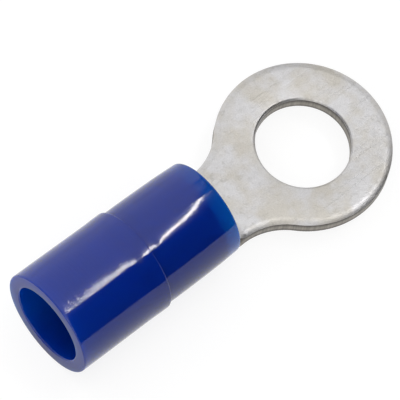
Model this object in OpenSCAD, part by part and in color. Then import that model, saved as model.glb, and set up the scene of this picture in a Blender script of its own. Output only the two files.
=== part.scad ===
// Insulated ring terminal for one stranded wire on a 4 mm stud.
// A flat ring tongue and a wire barrel are stamped and rolled from one strip of tin-plated
// copper. A stepped nylon sleeve with a funnel entry is pressed over the barrel.
// Millimetres. Origin: centre of the stud hole on the tongue's underside.
// +X runs from the wire entry to the ring, +Z is up from the underside.

/* [Stud ring] */
// Outside diameter of the ring
ring_d = 8.0; // [6:0.1:12]
// Diameter of the stud hole
hole_d = 4.3; // [3.2:0.05:6.5]
// Thickness of the copper strip, everywhere
stock_t = 0.7; // [0.5:0.05:1]
// Radius of the rolled-over edge round the top of the stud hole
edge_roll_r = 0.12; // [0.05:0.01:0.2]
// Width over which the punch draws down the strip's outer top edge
draw_in_w = 0.42; // [0.3:0.02:0.6]
// Height that the outer top edge loses
draw_in_d = 0.11; // [0.04:0.01:0.16]

/* [Neck] */
// Width of the strip at the narrowest part of the neck
neck_w = 3.76; // [3:0.02:4.4]
// Radius of the fillets from the neck to the ring
neck_fillet_r = 3.0; // [1.5:0.1:5]
// Height of the tongue's underside above the bottom of the barrel
tongue_lift = 0.15; // [0:0.05:0.4]
// Length over which the strip opens out flat in front of the barrel
flatten_l = 1.6; // [1.4:0.1:3]

/* [Wire barrel] */
// Inside diameter of the barrel
barrel_bore_d = 2.3; // [1.6:0.05:3]
// Length of the closed barrel
barrel_l = 4.3; // [3:0.1:8]
// Distance of the barrel's front end inside the sleeve's front rim
barrel_setback = 0.6; // [0.2:0.05:1]
// Length of the countersink at the barrel's wire end
barrel_lead_in_l = 0.25; // [0.1:0.05:0.5]
// Depth of the grip grooves in the barrel, and of its seam
groove_depth = 0.08; // [0.04:0.01:0.15]
// Width of each grip groove
groove_w = 0.3; // [0.15:0.05:0.5]
// Distance between grip grooves
groove_pitch = 1.0; // [0.6:0.1:1.5]
// Number of grip grooves
groove_count = 3; // [1:1:4]
// Width of the seam where the rolled edges meet
seam_w = 0.12; // [0.06:0.02:0.3]

/* [Sleeve outside] */
// Distance from the sleeve's front rim to the stud hole's centre
rim_to_stud = 5.9; // [5:0.1:12]
// Length of the slimmer front part
sleeve_front_l = 4.15; // [3:0.05:8]
// Length of the wider rear part
sleeve_rear_l = 4.95; // [3:0.05:8]
// Outside diameter at the front rim
sleeve_rim_d = 4.64; // [4.4:0.02:5.4]
// Outside diameter of the front part where it meets the step
sleeve_front_d = 4.81; // [4.5:0.01:5.8]
// Outside diameter of the rear part
sleeve_rear_d = 5.05; // [4.7:0.05:7]
// Radius of the sleeve's rounded outside edges
sleeve_edge_r = 0.12; // [0.05:0.01:0.2]
// Radius of the rounded shoulder at the step
shoulder_r = 0.1; // [0.05:0.01:0.15]

/* [Sleeve inside] */
// Diameter of the wire entry at the sleeve's mouth
entry_d = 3.74; // [3:0.02:5.5]
// Length of the straight wire entry
entry_l = 3.0; // [1:0.1:5]
// Gap all round between the barrel and the sleeve
barrel_gap = 0.02; // [0.01:0.01:0.1]
// Thickness of the inside rib that the barrel stops against
stop_rib_t = 0.15; // [0.1:0.05:0.5]
// Length of the flare inside the front rim
rim_flare_l = 0.9; // [0.3:0.1:2]
// Widening of the flare at the rim, on the radius
rim_flare = 0.18; // [0.05:0.01:0.3]

/* [Hidden] */
$fn = 96;
eps = 0.01;
ring_r = ring_d / 2;
hole_r = hole_d / 2;
bore_r = barrel_bore_d / 2;
barrel_r = bore_r + stock_t;
mid_r = bore_r + stock_t / 2;
axis_z = barrel_r - tongue_lift;
neck_half_w = neck_w / 2;

// places along X
rim_x = -rim_to_stud;
step_x = rim_x - sleeve_front_l;
mouth_x = step_x - sleeve_rear_l;
barrel_front_x = rim_x - barrel_setback;
barrel_rear_x = barrel_front_x - barrel_l;
flat_x = barrel_front_x + flatten_l;
funnel_x = mouth_x + entry_l;

// centre of the neck fillets, and where they meet the ring
fillet_y = neck_half_w + neck_fillet_r;
fillet_x = -sqrt(pow(ring_r + neck_fillet_r, 2) - pow(fillet_y, 2));
fillet_end_x = fillet_x * ring_r / (ring_r + neck_fillet_r);
fillet_a = atan2(fillet_y, fillet_x);

// the drawn-down edge is an arc that leaves the flat top at a tangent
draw_in_r = (pow(draw_in_w, 2) + pow(draw_in_d, 2)) / (2 * draw_in_d);
skim = 0.005; // height over the flat top at which the cutter's arc starts

// radii of the sleeve's inside
seat_r = barrel_r + barrel_gap;
entry_r = entry_d / 2;
stop_r = bore_r;
flare_r = seat_r + rim_flare;

// the curled strip runs on this far into the solids it joins, and is trimmed to lie just inside them
join_l = 0.2;
join_trim = 0.02;
curl_stations = 16;
flat_steps = 6;
edge_steps = 4;
fillet_steps = 8;
ring_steps = 24;

// ---- the strip ----

// half the width of the strip's outline at x, from the neck out to the ring
function half_width(x) =
    x <= fillet_x ? neck_half_w
    : fillet_y - sqrt(pow(neck_fillet_r, 2) - pow(x - fillet_x, 2));

// 0 where the strip is rolled to the barrel's curve, 1 where it is flat
function flatness(x) =
    let (u = min(max((x - barrel_front_x) / flatten_l, 0), 1)) u * u * (3 - 2 * u);

// places across a strip: closer together over its drawn-down edges than over its flat top
function across(half_w) =
    let (flat_w = half_w - draw_in_w)
    concat(
        [for (i = [edge_steps : -1 : 1]) -flat_w - draw_in_w * i / edge_steps],
        [for (i = [-flat_steps : flat_steps]) flat_w * i / flat_steps],
        [for (i = [1 : edge_steps]) flat_w + draw_in_w * i / edge_steps]
    );

// height lost to the draw-in at a distance inside the strip's edge
function drawn_down(inside) =
    draw_in_r - sqrt(pow(draw_in_r, 2) - pow(max(draw_in_w - inside, 0), 2));

// one cross-section of the curled strip, underside first and then back along the top
function curled_section(x, trim) =
    let (
        flat = flatness(x),
        radius = min(mid_r / max(1 - flat, 0.0005), 2000),
        centre_z = (axis_z - mid_r) * (1 - flat) + stock_t / 2 * flat + radius,
        half_t = stock_t / 2 - trim,
        half_w = half_width(x) - trim,
        places = across(half_w),
        flat_section = concat(
            [for (y = places) [y, -half_t]],
            [for (i = [len(places) - 1 : -1 : 0])
                [places[i], half_t - drawn_down(half_w - abs(places[i]))]])
    )
    [for (p = flat_section)
        let (a = p[0] / radius * 180 / PI, r = radius - p[1])
        [x, r * sin(a), centre_z - r * cos(a)]];

// closed skin over cross-sections that each run out along one side and back along the other
module skin(sections) {
    n = len(sections[0]);
    last = (len(sections) - 1) * n;
    sides = [for (i = [0 : n : last - n], j = [0 : n - 1])
        let (k = (j + 1) % n)
        each [[i + j, i + n + k, i + k], [i + j, i + n + j, i + n + k]]];
    ends = [for (j = [0 : n / 2 - 2])
        let (a = j, b = j + 1, c = n - 2 - j, d = n - 1 - j)
        each [[a, b, c], [a, c, d], [last + a, last + c, last + b], [last + a, last + d, last + c]]];
    polyhedron(points = [for (s = sections) each s], faces = concat(sides, ends), convexity = 4);
}

// rolled neck: starts inside the barrel's wall and ends inside the flat tongue
module curled_neck() {
    start_x = barrel_front_x - join_l;
    end_x = flat_x + join_l;
    skin([for (i = [0 : curl_stations])
        curled_section(start_x + (end_x - start_x) * i / curl_stations, join_trim)]);
}

module flat_tongue() {
    stations = [for (i = [0 : 10]) flat_x + (fillet_end_x - flat_x) * i / 10];
    neck = concat(
        [for (x = stations) [x, half_width(x)]],
        [[0, hole_r], [0, -hole_r]],
        [for (i = [10 : -1 : 0]) [stations[i], -half_width(stations[i])]]
    );
    difference() {
        linear_extrude(height = stock_t) {
            circle(r = ring_r);
            polygon(neck);
        }
        drawn_down_edge();
    }
}

// ---- cutters ----

// half the strip's outline from the neck's rear to the ring's tip, each place with its way out
function half_outline() = concat(
    [[[fillet_x - rim_to_stud, neck_half_w], [0, 1]]],
    [for (i = [0 : fillet_steps])
        let (a = -90 + (fillet_a - 90) * i / fillet_steps, way = [cos(a), sin(a)])
        [[fillet_x, fillet_y] + neck_fillet_r * way, -way]],
    [for (i = [1 : ring_steps])
        let (a = fillet_a * (1 - i / ring_steps), way = [cos(a), sin(a)])
        [ring_r * way, way]]
);

// section of what the punch draws down there: the arc out past the edge, then back above it
function drawn_section(place) =
    let (arc = [for (i = [0 : edge_steps])
        let (inside = draw_in_w * (1 - i / (edge_steps - 0.5)))
        [-inside, stock_t - drawn_down(inside) + (i == 0 ? skim : 0)]])
    concat(
        [for (p = arc) let (q = place[0] + p[0] * place[1]) [q[0], q[1], p[1]]],
        [for (i = [edge_steps : -1 : 0]) let (q = place[0] + arc[i][0] * place[1]) [q[0], q[1], stock_t + 1]]
    );

module drawn_down_edge() {
    half = half_outline();
    flip = [for (i = [len(half) - 2 : -1 : 0]) [for (v = half[i]) [v[0], -v[1]]]];
    skin([for (place = concat(half, flip)) drawn_section(place)]);
}

module stud_hole() {
    translate([0, 0, -1]) cylinder(h = stock_t + 2, r = hole_r);
    // the punch draws the top edge in more tightly here than round the outside
    difference() {
        translate([0, 0, stock_t - edge_roll_r])
            cylinder(h = edge_roll_r + 1, r = hole_r + edge_roll_r);
        translate([0, 0, stock_t - edge_roll_r]) rotate_extrude()
            translate([hole_r + edge_roll_r, 0]) circle(r = edge_roll_r);
    }
}

// a cylinder or cone along the barrel's axis, from x towards the ring
module along_axis(x, l, r1, r2) {
    translate([x, 0, axis_z]) rotate([0, 90, 0]) cylinder(h = l, r1 = r1, r2 = r2);
}

module barrel_inside() {
    along_axis(barrel_rear_x - 1, barrel_l + 1 + eps, bore_r, bore_r);
    along_axis(barrel_rear_x - eps, barrel_lead_in_l + eps,
        bore_r + barrel_lead_in_l, bore_r);
    first_x = barrel_rear_x + (barrel_l - (groove_count - 1) * groove_pitch - groove_w) / 2;
    for (i = [0 : groove_count - 1])
        along_axis(first_x + i * groove_pitch, groove_w, bore_r + groove_depth, bore_r + groove_depth);
    // seam, a shallow slot inside and outside along the barrel's top
    for (z = [bore_r, barrel_r])
        translate([barrel_rear_x - 1, -seam_w / 2, axis_z + z - groove_depth])
            cube([barrel_l + 2, seam_w, 2 * groove_depth]);
}

// ---- the two pieces ----

module terminal() {
    color([0.80, 0.79, 0.76])
    difference() {
        union() {
            flat_tongue();
            curled_neck();
            difference() {
                along_axis(barrel_rear_x, barrel_l, barrel_r, barrel_r);
                barrel_inside();
            }
        }
        stud_hole();
    }
}

// rounded corner of the sleeve's profile, as points from angle a0 to a1 about r and x
function corner(r, x, edge_r, a0, a1) =
    [for (i = [0 : 4]) let (a = a0 + (a1 - a0) * i / 4)
        [r + edge_r * cos(a), x + edge_r * sin(a)]];

module sleeve() {
    e = sleeve_edge_r;
    front_r = sleeve_front_d / 2;
    rear_r = sleeve_rear_d / 2;
    rim_r = sleeve_rim_d / 2;
    // the shoulder's rounding stays within the step's height
    s = min(shoulder_r, max(0.9 * (rear_r - front_r), eps));
    profile = concat(
        // outside, from the mouth to the front rim
        corner(rear_r - e, mouth_x + e, e, -90, 0),
        corner(rear_r - s, step_x - s, s, 0, 90),
        [[front_r, step_x]],
        corner(rim_r - e, rim_x - e, e, 0, 90),
        // inside, back from the front rim to the mouth
        [[flare_r, rim_x], [seat_r, rim_x - rim_flare_l], [seat_r, barrel_rear_x],
         [stop_r, barrel_rear_x], [stop_r, barrel_rear_x - stop_rib_t],
         [entry_r, funnel_x], [entry_r, mouth_x + e], [entry_r + e, mouth_x]]
    );
    color([0.07, 0.13, 0.47])
    translate([0, 0, axis_z]) rotate([0, 90, 0]) rotate_extrude() polygon(profile);
}

terminal();
sleeve();
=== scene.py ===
import math
import bmesh
import bpy
from mathutils import Matrix, Vector


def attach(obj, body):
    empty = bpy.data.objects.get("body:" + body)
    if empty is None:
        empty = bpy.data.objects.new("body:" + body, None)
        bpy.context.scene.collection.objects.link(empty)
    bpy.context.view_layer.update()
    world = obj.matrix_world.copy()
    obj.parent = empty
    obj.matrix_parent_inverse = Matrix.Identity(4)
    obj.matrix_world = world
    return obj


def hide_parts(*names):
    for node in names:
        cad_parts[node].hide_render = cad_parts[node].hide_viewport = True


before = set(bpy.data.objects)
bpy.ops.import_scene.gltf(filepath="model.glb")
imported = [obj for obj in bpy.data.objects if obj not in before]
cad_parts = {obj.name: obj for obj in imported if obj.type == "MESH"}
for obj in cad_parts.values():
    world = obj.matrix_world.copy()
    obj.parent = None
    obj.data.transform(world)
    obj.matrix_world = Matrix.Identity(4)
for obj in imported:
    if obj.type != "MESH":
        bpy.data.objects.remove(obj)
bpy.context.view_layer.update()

# Insulated ring terminal: a stamped and rolled strip of tin-plated copper with a moulded
# blue nylon sleeve pressed over its wire barrel. Lengths are millimetres until a piece is
# finished, and metres after that. +X runs from the wire entry to the ring, +Z is up.

MM = 0.001

# ring and strip
RING_R = 4.0
HOLE_R = 2.15
STRIP_T = 0.7
DRAW_IN_W = 0.36        # the punch draws the strip's upper edges down over this width
DRAW_IN_D = 0.10
DRAW_IN_FALL = 2.2      # how fast the draw-in flattens out, as a power
HOLE_DRAW = 0.35        # round the hole the draw-in is this much narrower
HOLE_REACH = 0.5        # both rims of the hole lie within this of its wall
BURR = 0.03             # worn-down burr on the lower edges

# neck and rolled barrel
NECK_HALF = 1.88
FILLET_R = 3.0
BORE_R = 1.15
BARREL_R = BORE_R + STRIP_T
MID_R = BORE_R + STRIP_T / 2
AXIS_Z = 1.7
CURL_X = -6.5           # the roll starts to open out here
FLAT_X = -4.9           # and the strip is flat from here
NEARLY_FLAT = 0.0005    # keeps the roll's radius finite where the strip is flat
BARREL_FRONT = -6.5
BARREL_REAR = -10.8
LEAD_IN = 0.25
GROOVES = (-9.8, -8.8, -7.8)
GROOVE_W = 0.3
GROOVE_DEPTH = 0.08
SEAM_W = 0.06

# where the ring's edge meets the fillets of the neck, and where the flat blank ends
FILLET_X = -math.sqrt((RING_R + FILLET_R) ** 2 - (NECK_HALF + FILLET_R) ** 2)
FILLET_Y = NECK_HALF + FILLET_R
STRIP_END = BARREL_FRONT - 0.02

# sleeve
MOUTH_X = -15.0
STEP_X = -10.05
RIM_X = -5.9
REAR_R = 2.525
FOOT_R = 2.405
ENTRY_R = 1.87
FUNNEL_X = -12.0
RIB_X = -10.95
SEAT_R = 1.87
FLARE_R = 2.05
FLARE_X = -6.8
MOUTH_EDGE_R = 0.12
ENTRY_EDGE_R = 0.08
SHOULDER_R = 0.07
RIM_EDGE_R = 0.09
FLARE_EDGE_R = 0.05

# how finely the round shapes are cut
RING_STEPS = 76
FILLET_STEPS = 14
DRAW_IN_STEPS = 7
HOLE_STEPS = 120
HOLE_DRAW_STEPS = 5
ROLL_STEPS = 40
BARREL_STEPS = 120
SLEEVE_STEPS = 180
PROFILE_STEP = 0.08
BEVEL_STEPS = 5


# ---- small helpers ----

def add_node(tree, kind, links=(), settings=(), **properties):
    """Adds a node with its properties, its input values and its links, each input by name or number."""
    new = tree.nodes.new(kind)
    for name, value in properties.items():
        setattr(new, name, value)
    for key, value in settings:
        new.inputs[key].default_value = value
    for key, source in links:
        tree.links.new(source, new.inputs[key])
    return new.outputs


def linear(code):
    """A hex colour as linear red, green, blue and alpha."""
    parts = [int(code[i:i + 2], 16) / 255 for i in (1, 3, 5)]
    return tuple(p / 12.92 if p <= 0.04045 else ((p + 0.055) / 1.055) ** 2.4 for p in parts) + (1.0,)


def per(size):
    """The scale of a pattern whose marks are a size in millimetres across."""
    return 1 / (size * MM)


def set_stops(ramp, stops):
    """Gives a colour ramp its stops, each a place from 0 to 1 and a hex colour."""
    for element, (place, code) in zip(ramp.elements, (stops[0], stops[-1])):
        element.position = place
        element.color = linear(code)
    for place, code in stops[1:-1]:
        ramp.elements.new(place).color = linear(code)


def new_material(name):
    mat = bpy.data.materials.new(name)
    mat.use_nodes = True
    return mat, mat.node_tree, mat.node_tree.nodes["Principled BSDF"]


def link_object(name, data):
    new = bpy.data.objects.new(name, data)
    bpy.context.collection.objects.link(new)
    return new


def finish_piece(bm, name, materials, crease=math.radians(30)):
    """Turns a bmesh in millimetres into an object in metres with smooth faces and sharp creases."""
    bmesh.ops.recalc_face_normals(bm, faces=bm.faces)
    bmesh.ops.scale(bm, vec=(MM, MM, MM), verts=bm.verts)
    for face in bm.faces:
        face.smooth = True
    for edge in bm.edges:
        edge.smooth = len(edge.link_faces) == 2 and edge.calc_face_angle(0) < crease
    mesh = bpy.data.meshes.new(name)
    bm.to_mesh(mesh)
    bm.free()
    for mat in materials:
        mesh.materials.append(mat)
    return link_object(name, mesh)


def ends(edges):
    """The vertices of some edges, each once and always in the same order."""
    return list(dict.fromkeys(v for e in edges for v in e.verts))


def section(bm, points):
    """A closed loop of edges through points given as x and distance from the barrel's axis."""
    verts = [bm.verts.new((x, 0, AXIS_Z + r)) for x, r in points]
    return [bm.edges.new((a, b)) for a, b in zip(verts, verts[1:] + verts[:1])]


def turn_about_barrel(bm, edges, angle, steps):
    """Spins edges about the barrel's axis, closing the shape where the turn is full."""
    full = abs(angle) > 2 * math.pi - 1e-6
    bmesh.ops.spin(bm, geom=edges + ends(edges),
                   cent=(0, 0, AXIS_Z), axis=(1, 0, 0), angle=angle, steps=steps,
                   use_merge=full, use_duplicate=False)
    bmesh.ops.remove_doubles(bm, verts=bm.verts, dist=1e-5)


# ---- the strip: ring, neck and the roll that opens out from the barrel ----

def roll(co):
    """Where a point of the flat strip goes when the neck is rolled towards the barrel."""
    u = min(max((co.x - CURL_X) / (FLAT_X - CURL_X), 0), 1)
    flat = u * u * (3 - 2 * u)
    radius = MID_R / max(1 - flat, NEARLY_FLAT)
    middle = (AXIS_Z - MID_R) * (1 - flat) + STRIP_T / 2 * flat
    height = co.z - STRIP_T / 2
    angle = co.y / radius
    return Vector((co.x, (radius - height) * math.sin(angle),
                   middle + radius - (radius - height) * math.cos(angle)))


def draw_in(t, width):
    """Distance in from a punched edge, and height lost there, a part t of the way up to the flat."""
    return t * width, DRAW_IN_D * (1 - t) ** DRAW_IN_FALL


def make_outline(bm):
    """Half the blank's outline from the tip round the ring, the fillet and the neck, then mirrored."""
    tip = bm.verts.new((RING_R, 0, 0))
    lean = math.atan2(FILLET_Y, -FILLET_X)
    last = bmesh.ops.spin(bm, geom=[tip], cent=(0, 0, 0), axis=(0, 0, 1), angle=math.pi - lean,
                          steps=RING_STEPS)["geom_last"]
    last = bmesh.ops.spin(bm, geom=last, cent=(FILLET_X, FILLET_Y, 0), axis=(0, 0, 1),
                          angle=lean - math.pi / 2, steps=FILLET_STEPS)["geom_last"]
    end = bm.verts.new((STRIP_END, NECK_HALF, 0))
    middle = bm.verts.new((STRIP_END, 0, 0))
    bm.edges.new((last[0], end))
    bm.edges.new((end, middle))
    bmesh.ops.mirror(bm, geom=bm.verts[:] + bm.edges[:], axis="Y", merge_dist=1e-4)


def make_blank(bm):
    """The blank without its hole: drawn-in upper edges and a burr below. Gives its top and bottom."""
    make_outline(bm)
    face = bmesh.ops.contextual_create(bm, geom=bm.edges[:])["faces"][0]
    lifted = bmesh.ops.extrude_face_region(bm, geom=[face])["geom"]
    top = [f for f in lifted if isinstance(f, bmesh.types.BMFace)][0]
    bmesh.ops.translate(bm, vec=(0, 0, STRIP_T - DRAW_IN_D), verts=top.verts[:])
    bmesh.ops.recalc_face_normals(bm, faces=bm.faces)
    for i in range(1, DRAW_IN_STEPS + 1):
        inner = draw_in(i / DRAW_IN_STEPS, DRAW_IN_W)
        outer = draw_in((i - 1) / DRAW_IN_STEPS, DRAW_IN_W)
        bmesh.ops.inset_region(bm, faces=[top], thickness=inner[0] - outer[0],
                               depth=outer[1] - inner[1], use_even_offset=True)
    bottom = min(bm.faces, key=lambda f: (f.calc_center_median().z, -len(f.verts)))
    bmesh.ops.inset_region(bm, faces=[bottom], thickness=BURR, depth=0, use_even_offset=True)
    return top, bottom


def punch_hole(bm, top, bottom):
    """The stud hole, turned about its own axis with the same draw-in, much narrower."""
    hole = [(HOLE_R + BURR, 0), (HOLE_R, BURR)]
    for i in range(HOLE_DRAW_STEPS + 1):
        inner, lost = draw_in(i / HOLE_DRAW_STEPS, DRAW_IN_W * HOLE_DRAW)
        hole.append((HOLE_R + inner, STRIP_T - lost))
    verts = [bm.verts.new((r, 0, z)) for r, z in hole]
    edges = [bm.edges.new(pair) for pair in zip(verts, verts[1:])]
    bmesh.ops.spin(bm, geom=verts + edges, cent=(0, 0, 0), axis=(0, 0, 1), angle=2 * math.pi,
                   steps=HOLE_STEPS, use_merge=True)
    rims = {0: list(bottom.edges), STRIP_T: list(top.edges)}
    bmesh.ops.delete(bm, geom=[top, bottom], context="FACES_ONLY")
    for height, rim in rims.items():
        around = [e for e in bm.edges if len(e.link_faces) == 1
                  and all(abs(v.co.z - height) < 1e-5 and v.co.xy.length < HOLE_R + HOLE_REACH
                          for v in e.verts)]
        bmesh.ops.triangle_fill(bm, use_beauty=True, edges=rim + around)


def make_strip(bm):
    """The stamped strip, cut across in narrow bands at its neck and rolled there."""
    top, bottom = make_blank(bm)
    punch_hole(bm, top, bottom)
    for i in range(1, ROLL_STEPS):
        bmesh.ops.bisect_plane(bm, geom=bm.verts[:] + bm.edges[:] + bm.faces[:], dist=1e-5,
                               plane_co=(STRIP_END + (FLAT_X - STRIP_END) * i / ROLL_STEPS, 0, 0),
                               plane_no=(1, 0, 0))
    bmesh.ops.recalc_face_normals(bm, faces=bm.faces)
    bm.normal_update()
    for face in bm.faces:
        face.material_index = 1 if abs(face.normal.z) < 0.3 else 0
    for v in bm.verts:
        v.co = roll(v.co)


def make_barrel(bm):
    """The wire barrel: a turned tube with a countersink, grip grooves and its brazed seam."""
    points = [(BARREL_FRONT, BORE_R), (BARREL_FRONT, BARREL_R), (BARREL_REAR, BARREL_R),
              (BARREL_REAR, BORE_R + LEAD_IN), (BARREL_REAR + LEAD_IN, BORE_R)]
    for x in GROOVES:
        points += [(x, BORE_R), (x, BORE_R + GROOVE_DEPTH), (x + GROOVE_W, BORE_R + GROOVE_DEPTH),
                   (x + GROOVE_W, BORE_R)]
    edges = section(bm, points)
    gap = SEAM_W / BARREL_R
    bmesh.ops.rotate(bm, cent=(0, 0, AXIS_Z), matrix=Matrix.Rotation(gap / 2, 3, "X"),
                     verts=ends(edges))
    turn_about_barrel(bm, edges, 2 * math.pi - gap, BARREL_STEPS)
    bmesh.ops.holes_fill(bm, edges=[e for e in bm.edges if e.is_boundary], sides=0)


# ---- the sleeve ----

# How the moulding's outside leans, as change of radius per length: faintly waisted at the
# rear with a bead before the step, and crowned at the front so that it draws in to the rim.
REAR_LEAN = ((MOUTH_X, -0.002), (-14.0, -0.003), (-13.0, -0.008), (-11.3, -0.006), (-11.0, 0.004),
             (-10.7, 0.034), (-10.45, 0.008), (STEP_X, 0.0))
FRONT_LEAN = ((STEP_X, 0.0), (-9.75, 0.0), (-9.62, 0.028), (-9.45, 0.006), (-9.3, -0.006),
              (-8.5, -0.012), (-8.0, -0.015), (-7.5, -0.020), (-7.2, -0.028), (-7.0, -0.034),
              (-6.7, -0.045), (-6.3, -0.056), (RIM_X, -0.06))


def along(lean, radius):
    """Points of a profile that starts at a radius and follows a table of leans."""
    x, end = lean[0][0], lean[-1][0]
    count = round((end - x) / PROFILE_STEP)
    points = [(x, radius)]
    for i in range(count):
        at = x + (end - x) * (i + 0.5) / count
        for (x0, lean0), (x1, lean1) in zip(lean, lean[1:]):
            if x0 <= at <= x1:
                radius += (lean0 + (lean1 - lean0) * (at - x0) / (x1 - x0)) * (end - x) / count
                break
        points.append((x + (end - x) * (i + 1) / count, radius))
    return points


def round_corner(bm, corner, size):
    """Rounds the ring of edges that stands at a corner of the sleeve's section."""
    x, r = corner
    ring = [e for e in bm.edges if all(abs(v.co.x - x) < 1e-4 and
            abs(math.hypot(v.co.y, v.co.z - AXIS_Z) - r) < 2e-3 for v in e.verts)]
    bmesh.ops.bevel(bm, geom=ring, offset=size, offset_type="OFFSET", affect="EDGES",
                    segments=BEVEL_STEPS, profile=0.5, material=-1, clamp_overlap=True)


def make_sleeve(bm):
    """The moulded sleeve: stepped outside, funnel entry, stop rib and seat for the barrel."""
    rear, front = along(REAR_LEAN, REAR_R), along(FRONT_LEAN, FOOT_R)
    entry, flare = (MOUTH_X, ENTRY_R), (RIM_X, FLARE_R)
    turn_about_barrel(bm, section(bm, rear + front + [
        flare, (FLARE_X, SEAT_R), (BARREL_REAR, SEAT_R), (BARREL_REAR, BORE_R),
        (RIB_X, BORE_R), (FUNNEL_X, ENTRY_R), entry]), 2 * math.pi, SLEEVE_STEPS)
    for corner, size in ((rear[0], MOUTH_EDGE_R), (entry, ENTRY_EDGE_R), (rear[-1], SHOULDER_R),
                         (front[-1], RIM_EDGE_R), (flare, FLARE_EDGE_R)):
        round_corner(bm, corner, size)
    bmesh.ops.remove_doubles(bm, verts=bm.verts, dist=0.0001)
    bm.normal_update()
    for face in bm.faces:
        x = face.calc_center_median().x
        at_end = x < MOUTH_X + 0.1 or x > RIM_X - 0.1
        face.material_index = 1 if abs(face.normal.x) > 0.9 and at_end else 0


# ---- finishes ----

def tin_material():
    """Tin plate on copper, dull from the bath and handled loose in a bag: satin and pale, clouded
    with cooler and warmer patches, smudged grey near the outer edge, with hairline scratches."""
    mat, tree, shader = new_material("satin_tin_plate")
    shader.inputs["Metallic"].default_value = 1.0
    here = add_node(tree, "ShaderNodeTexCoord")["Object"]
    clouds = add_node(tree, "ShaderNodeTexNoise", [("Vector", here)],
                      [("Scale", per(1.1)), ("Detail", 3), ("Roughness", 0.55)])["Fac"]
    patches = add_node(tree, "ShaderNodeTexNoise", [("Vector", here)],
                       [("Scale", per(0.35)), ("Detail", 6), ("Roughness", 0.7), ("Distortion", 0.6)])["Fac"]
    grain = add_node(tree, "ShaderNodeTexNoise", [("Vector", here)],
                     [("Scale", per(0.07)), ("Detail", 3), ("Roughness", 0.6)])["Fac"]
    colour = add_node(tree, "ShaderNodeValToRGB", [("Fac", clouds)])["Color"]
    set_stops(colour.node.color_ramp, ((0.38, "#BDB9B2"), (0.62, "#C6C5C6")))
    # the smudges gather on the outer band of the ring
    stain = add_node(tree, "ShaderNodeMapRange", [("Value", patches)],
                     [("From Min", 0.54), ("From Max", 0.70), ("To Min", 0.0), ("To Max", 0.35)])["Result"]
    from_stud = add_node(tree, "ShaderNodeVectorMath", [(0, here)], [(1, (1, 1, 0))],
                         operation="MULTIPLY")[0]
    reach = add_node(tree, "ShaderNodeVectorMath", [(0, from_stud)], operation="LENGTH")["Value"]
    band = add_node(tree, "ShaderNodeMapRange", [("Value", reach)],
                    [("From Min", 2.7 * MM), ("From Max", 3.7 * MM), ("To Min", 0.35),
                     ("To Max", 1.0)])["Result"]
    smudge = add_node(tree, "ShaderNodeMath", [(0, stain), (1, band)], operation="MULTIPLY")[0]
    colour = add_node(tree, "ShaderNodeMix", [("Factor", smudge), (6, colour)],
                      [(7, linear("#8B8880"))], data_type="RGBA")[2]
    speckle = add_node(tree, "ShaderNodeMapRange", [("Value", grain)],
                       [("From Min", 0.35), ("From Max", 0.65), ("To Min", 0.93),
                        ("To Max", 1.04)])["Result"]
    colour = add_node(tree, "ShaderNodeVectorMath", [(0, colour), ("Scale", speckle)],
                      operation="SCALE")[0]
    tree.links.new(colour, shader.inputs["Base Color"])
    dull = add_node(tree, "ShaderNodeMapRange", [("Value", patches)],
                    [("From Min", 0.3), ("From Max", 0.7), ("To Min", 0.34), ("To Max", 0.50)])["Result"]
    tree.links.new(dull, shader.inputs["Roughness"])
    # hairlines: noise stretched eighty times along the strip and turned a little
    turned = add_node(tree, "ShaderNodeMapping", [("Vector", here)],
                      [("Rotation", (0, 0, 0.5)), ("Scale", (per(4.0), per(0.05), per(4.0)))])["Vector"]
    hair = add_node(tree, "ShaderNodeTexNoise", [("Vector", turned)], [("Scale", 1.0), ("Detail", 1)])["Fac"]
    hair = add_node(tree, "ShaderNodeMapRange", [("Value", hair)],
                    [("From Min", 0.66), ("From Max", 0.74), ("To Min", 0.0), ("To Max", 1.0)])["Result"]
    bump = add_node(tree, "ShaderNodeBump", [("Height", patches)],
                    [("Strength", 1.0), ("Distance", 0.012 * MM)])["Normal"]
    bump = add_node(tree, "ShaderNodeBump", [("Height", grain), ("Normal", bump)],
                    [("Strength", 1.0), ("Distance", 0.003 * MM)])["Normal"]
    bump = add_node(tree, "ShaderNodeBump", [("Height", hair), ("Normal", bump)],
                    [("Strength", 1.0), ("Distance", -0.004 * MM)])["Normal"]
    tree.links.new(bump, shader.inputs["Normal"])
    return mat


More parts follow.
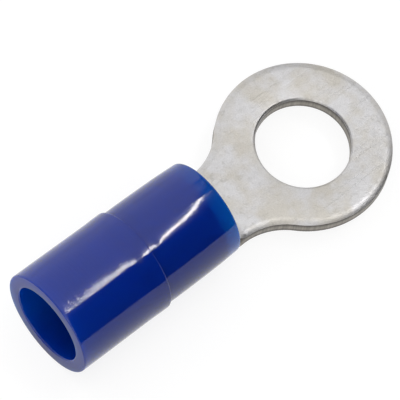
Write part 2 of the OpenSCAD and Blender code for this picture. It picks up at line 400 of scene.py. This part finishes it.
def sheared_material():
    """Punched edge of the strip, plated after shearing: duller and warmer, lightest about a third of the
    way up and darker towards its top and its bottom, with fine upright drag marks."""
    mat, tree, shader = new_material("sheared_plated_edge")
    shader.inputs["Metallic"].default_value = 1.0
    shader.inputs["Roughness"].default_value = 0.5
    here = add_node(tree, "ShaderNodeTexCoord")["Object"]
    depth = add_node(tree, "ShaderNodeSeparateXYZ", [("Vector", here)])["Z"]
    level = add_node(tree, "ShaderNodeMapRange", [("Value", depth)],
                     [("From Min", 0), ("From Max", STRIP_T * MM)])["Result"]
    # the wall's colour by height: lightest about a third of the way up, darker towards the top and the
    # bottom
    bands = add_node(tree, "ShaderNodeValToRGB", [("Fac", level)])["Color"]
    set_stops(bands.node.color_ramp, ((0.0, "#5E5A55"), (0.16, "#7C7872"), (0.34, "#9A958D"),
                                      (0.55, "#8A867F"), (0.72, "#67635E"), (1.0, "#4E4B47")))
    upright = add_node(tree, "ShaderNodeMapping", [("Vector", here)],
                       [("Scale", (per(0.08), per(0.08), per(1.2)))])["Vector"]
    drag = add_node(tree, "ShaderNodeTexNoise", [("Vector", upright)],
                    [("Scale", 1.0), ("Detail", 4)])["Fac"]
    shade = add_node(tree, "ShaderNodeMapRange", [("Value", drag)],
                     [("From Min", 0.3), ("From Max", 0.7), ("To Min", 0.75), ("To Max", 1.2)])["Result"]
    colour = add_node(tree, "ShaderNodeVectorMath", [(0, bands), ("Scale", shade)], operation="SCALE")[0]
    tree.links.new(colour, shader.inputs["Base Color"])
    bump = add_node(tree, "ShaderNodeBump", [("Height", drag)],
                    [("Strength", 1.0), ("Distance", 0.01 * MM)])["Normal"]
    tree.links.new(bump, shader.inputs["Normal"])
    return mat


def nylon_material(name, roughness, specular, ridges):
    """Blue pigmented nylon: light goes a little way in, so thin and hollow parts glow a clearer blue."""
    mat, tree, shader = new_material(name)
    shader.inputs["Base Color"].default_value = linear("#012486")
    shader.inputs["IOR"].default_value = 1.53
    shader.inputs["Specular IOR Level"].default_value = specular
    shader.inputs["Subsurface Weight"].default_value = 1.0
    shader.inputs["Subsurface Radius"].default_value = (0.25, 0.9, 1.0)
    shader.inputs["Subsurface Scale"].default_value = 4 * MM
    here = add_node(tree, "ShaderNodeTexCoord")["Object"]
    # turned-mould marks: rings 0.1 mm apart round the barrel's axis, stronger over the rear half
    rings = add_node(tree, "ShaderNodeMapping", [("Vector", here)],
                     [("Scale", (per(0.1), per(1.5), per(1.5)))])["Vector"]
    marks = add_node(tree, "ShaderNodeTexNoise", [("Vector", rings)], [("Scale", 1.0), ("Detail", 2)])["Fac"]
    lengthwise = add_node(tree, "ShaderNodeSeparateXYZ", [("Vector", here)])["X"]
    front_strength = 0.06
    fade = add_node(tree, "ShaderNodeMapRange", [("Value", lengthwise)],
                    [("From Min", -14.0 * MM), ("From Max", -10.2 * MM), ("To Min", 1.0),
                     ("To Max", front_strength)])["Result"]
    worn = add_node(tree, "ShaderNodeMapRange", [("Value", fade)],
                    [("From Min", front_strength), ("To Min", roughness),
                     ("To Max", roughness * 1.3)])["Result"]
    tree.links.new(worn, shader.inputs["Roughness"])
    marks = add_node(tree, "ShaderNodeMath", [(0, marks), (1, fade)], operation="MULTIPLY")[0]
    peel = add_node(tree, "ShaderNodeTexNoise", [("Vector", here)],
                    [("Scale", per(0.5)), ("Detail", 2)])["Fac"]
    bump = add_node(tree, "ShaderNodeBump", [("Height", marks)],
                    [("Strength", 1.0), ("Distance", ridges * MM)])["Normal"]
    bump = add_node(tree, "ShaderNodeBump", [("Height", peel), ("Normal", bump)],
                    [("Strength", 1.0), ("Distance", 0.002 * MM)])["Normal"]
    tree.links.new(bump, shader.inputs["Normal"])
    return mat


def paper_material():
    """White table paper, lit by itself only where the camera or a reflection looks at it."""
    mat, tree, shader = new_material("white_paper_table")
    shader.inputs["Base Color"].default_value = linear("#7C7C7C")
    shader.inputs["Roughness"].default_value = 0.9
    shader.inputs["Specular IOR Level"].default_value = 0.0
    shader.inputs["Emission Color"].default_value = (1, 1, 1, 1)
    path = add_node(tree, "ShaderNodeLightPath")
    seen = path["Is Camera Ray"]
    for ray in ("Is Glossy Ray", "Is Transmission Ray"):
        seen = add_node(tree, "ShaderNodeMath", [(0, seen), (1, path[ray])], operation="MAXIMUM")[0]
    glow = add_node(tree, "ShaderNodeMath", [(0, seen)], [(1, 0.83)], operation="MULTIPLY")[0]
    tree.links.new(glow, shader.inputs["Emission Strength"])
    return mat


tin = tin_material()
sheared = sheared_material()
# Nylon from a polished mould: a hard gloss, broken up where the mould was turned
nylon = nylon_material("moulded_blue_nylon", 0.08, 0.42, 0.004)
# The sleeve's end faces come from the mould's parting plates: the same blue, matt
nylon_end = nylon_material("matt_blue_nylon_end", 0.3, 0.5, 0.0)

# ---- pieces ----

bm = bmesh.new()
make_strip(bm)
make_barrel(bm)
terminal = finish_piece(bm, "rolled_ring_terminal", [tin, sheared])
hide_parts("terminal")
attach(terminal, "root")

bm = bmesh.new()
make_sleeve(bm)
sleeve = finish_piece(bm, "funnel_entry_sleeve", [nylon, nylon_end])
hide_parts("sleeve")
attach(sleeve, "root")


# ---- studio, in metres ----

TABLE_HALF = 1.5
SOFTBOX = 1.4           # side of the two softboxes that hang together
HEIGHT = 0.7            # of the overhead softbox above the terminal
MIDDLE = Vector((-0.0055, 0, 0.0017))


def make_table():
    """The table top, just under the sleeve's lowest line."""
    bm = bmesh.new()
    bmesh.ops.create_grid(bm, x_segments=1, y_segments=1, size=TABLE_HALF)
    mesh = bpy.data.meshes.new("table")
    bm.to_mesh(mesh)
    bm.free()
    mesh.materials.append(paper_material())
    table = link_object("table", mesh)
    table.location = (0, 0, (AXIS_Z - REAR_R) * MM)


def make_world():
    world = bpy.data.worlds.new("room")
    bpy.context.scene.world = world
    world.use_nodes = True
    background = world.node_tree.nodes["Background"]
    background.inputs["Color"].default_value = (1, 1, 1, 1)
    background.inputs["Strength"].default_value = 0.03


def add_lamp(name, place, facing, along, size, radiance):
    """A rectangular lamp of a given brightness that shines along a direction, its first side
    turned along another."""
    data = bpy.data.lights.new(name, "AREA")
    data.shape = "RECTANGLE"
    data.size, data.size_y = size
    data.energy = radiance * math.pi * size[0] * size[1]
    back = -Vector(facing).normalized()
    side = Vector(along)
    side = (side - side.dot(back) * back).normalized()
    turn = Matrix((side, back.cross(side), back)).transposed().to_4x4()
    link_object(name, data).matrix_world = Matrix.Translation(place) @ turn


def make_lamps():
    """An overhead softbox that ends along a line, with a bare tube hung along the same line and a
    second softbox hung from its far edge, so that they don't overlap, and two softboxes low down."""
    down = Vector((0, 0, -1))
    line = Vector((0.235, 0.972, 0))
    away = Vector((-0.972, 0.235, 0))
    glint = Vector((-0.010, 0, 0.0017))
    crossing = glint + Vector((0.355, -0.219, 0.908)) / 0.908 * HEIGHT
    centre = crossing + away * SOFTBOX / 2
    add_lamp("overhead_softbox", centre + line * 0.15, down, line, (SOFTBOX, SOFTBOX), 1.15)
    add_lamp("side_softbox", centre + line * 0.85 + down * 0.35, -line, away, (SOFTBOX, 0.7), 1.15)
    add_lamp("window_softbox", Vector((0.9, 0.35, 0.6)), (-1, 0, 0), (0, 1, 0), (1.1, 1.2), 1.0)
    add_lamp("fill_softbox", MIDDLE + Vector((-0.8, -0.6, 0.5)), (0.8, 0.6, -0.5), line, (0.9, 0.9), 1.6)
    add_lamp("bare_tube", crossing + line * 0.08 + down * 0.01, down, line, (0.37, 0.014), 50.0)


def make_camera():
    lens = bpy.data.cameras.new("camera")
    lens.lens = 450.0
    lens.sensor_width = 36.0
    lens.clip_start = 0.01
    lens.clip_end = 10.0
    camera = link_object("camera", lens)
    camera.location = (-0.083482, -0.055927, 0.197903)
    camera.rotation_euler = [math.radians(a) for a in (25.309, -6.38, -40.794)]
    bpy.context.scene.camera = camera


make_table()
make_world()
make_lamps()
make_camera()
bpy.context.scene.view_settings.view_transform = "Standard"
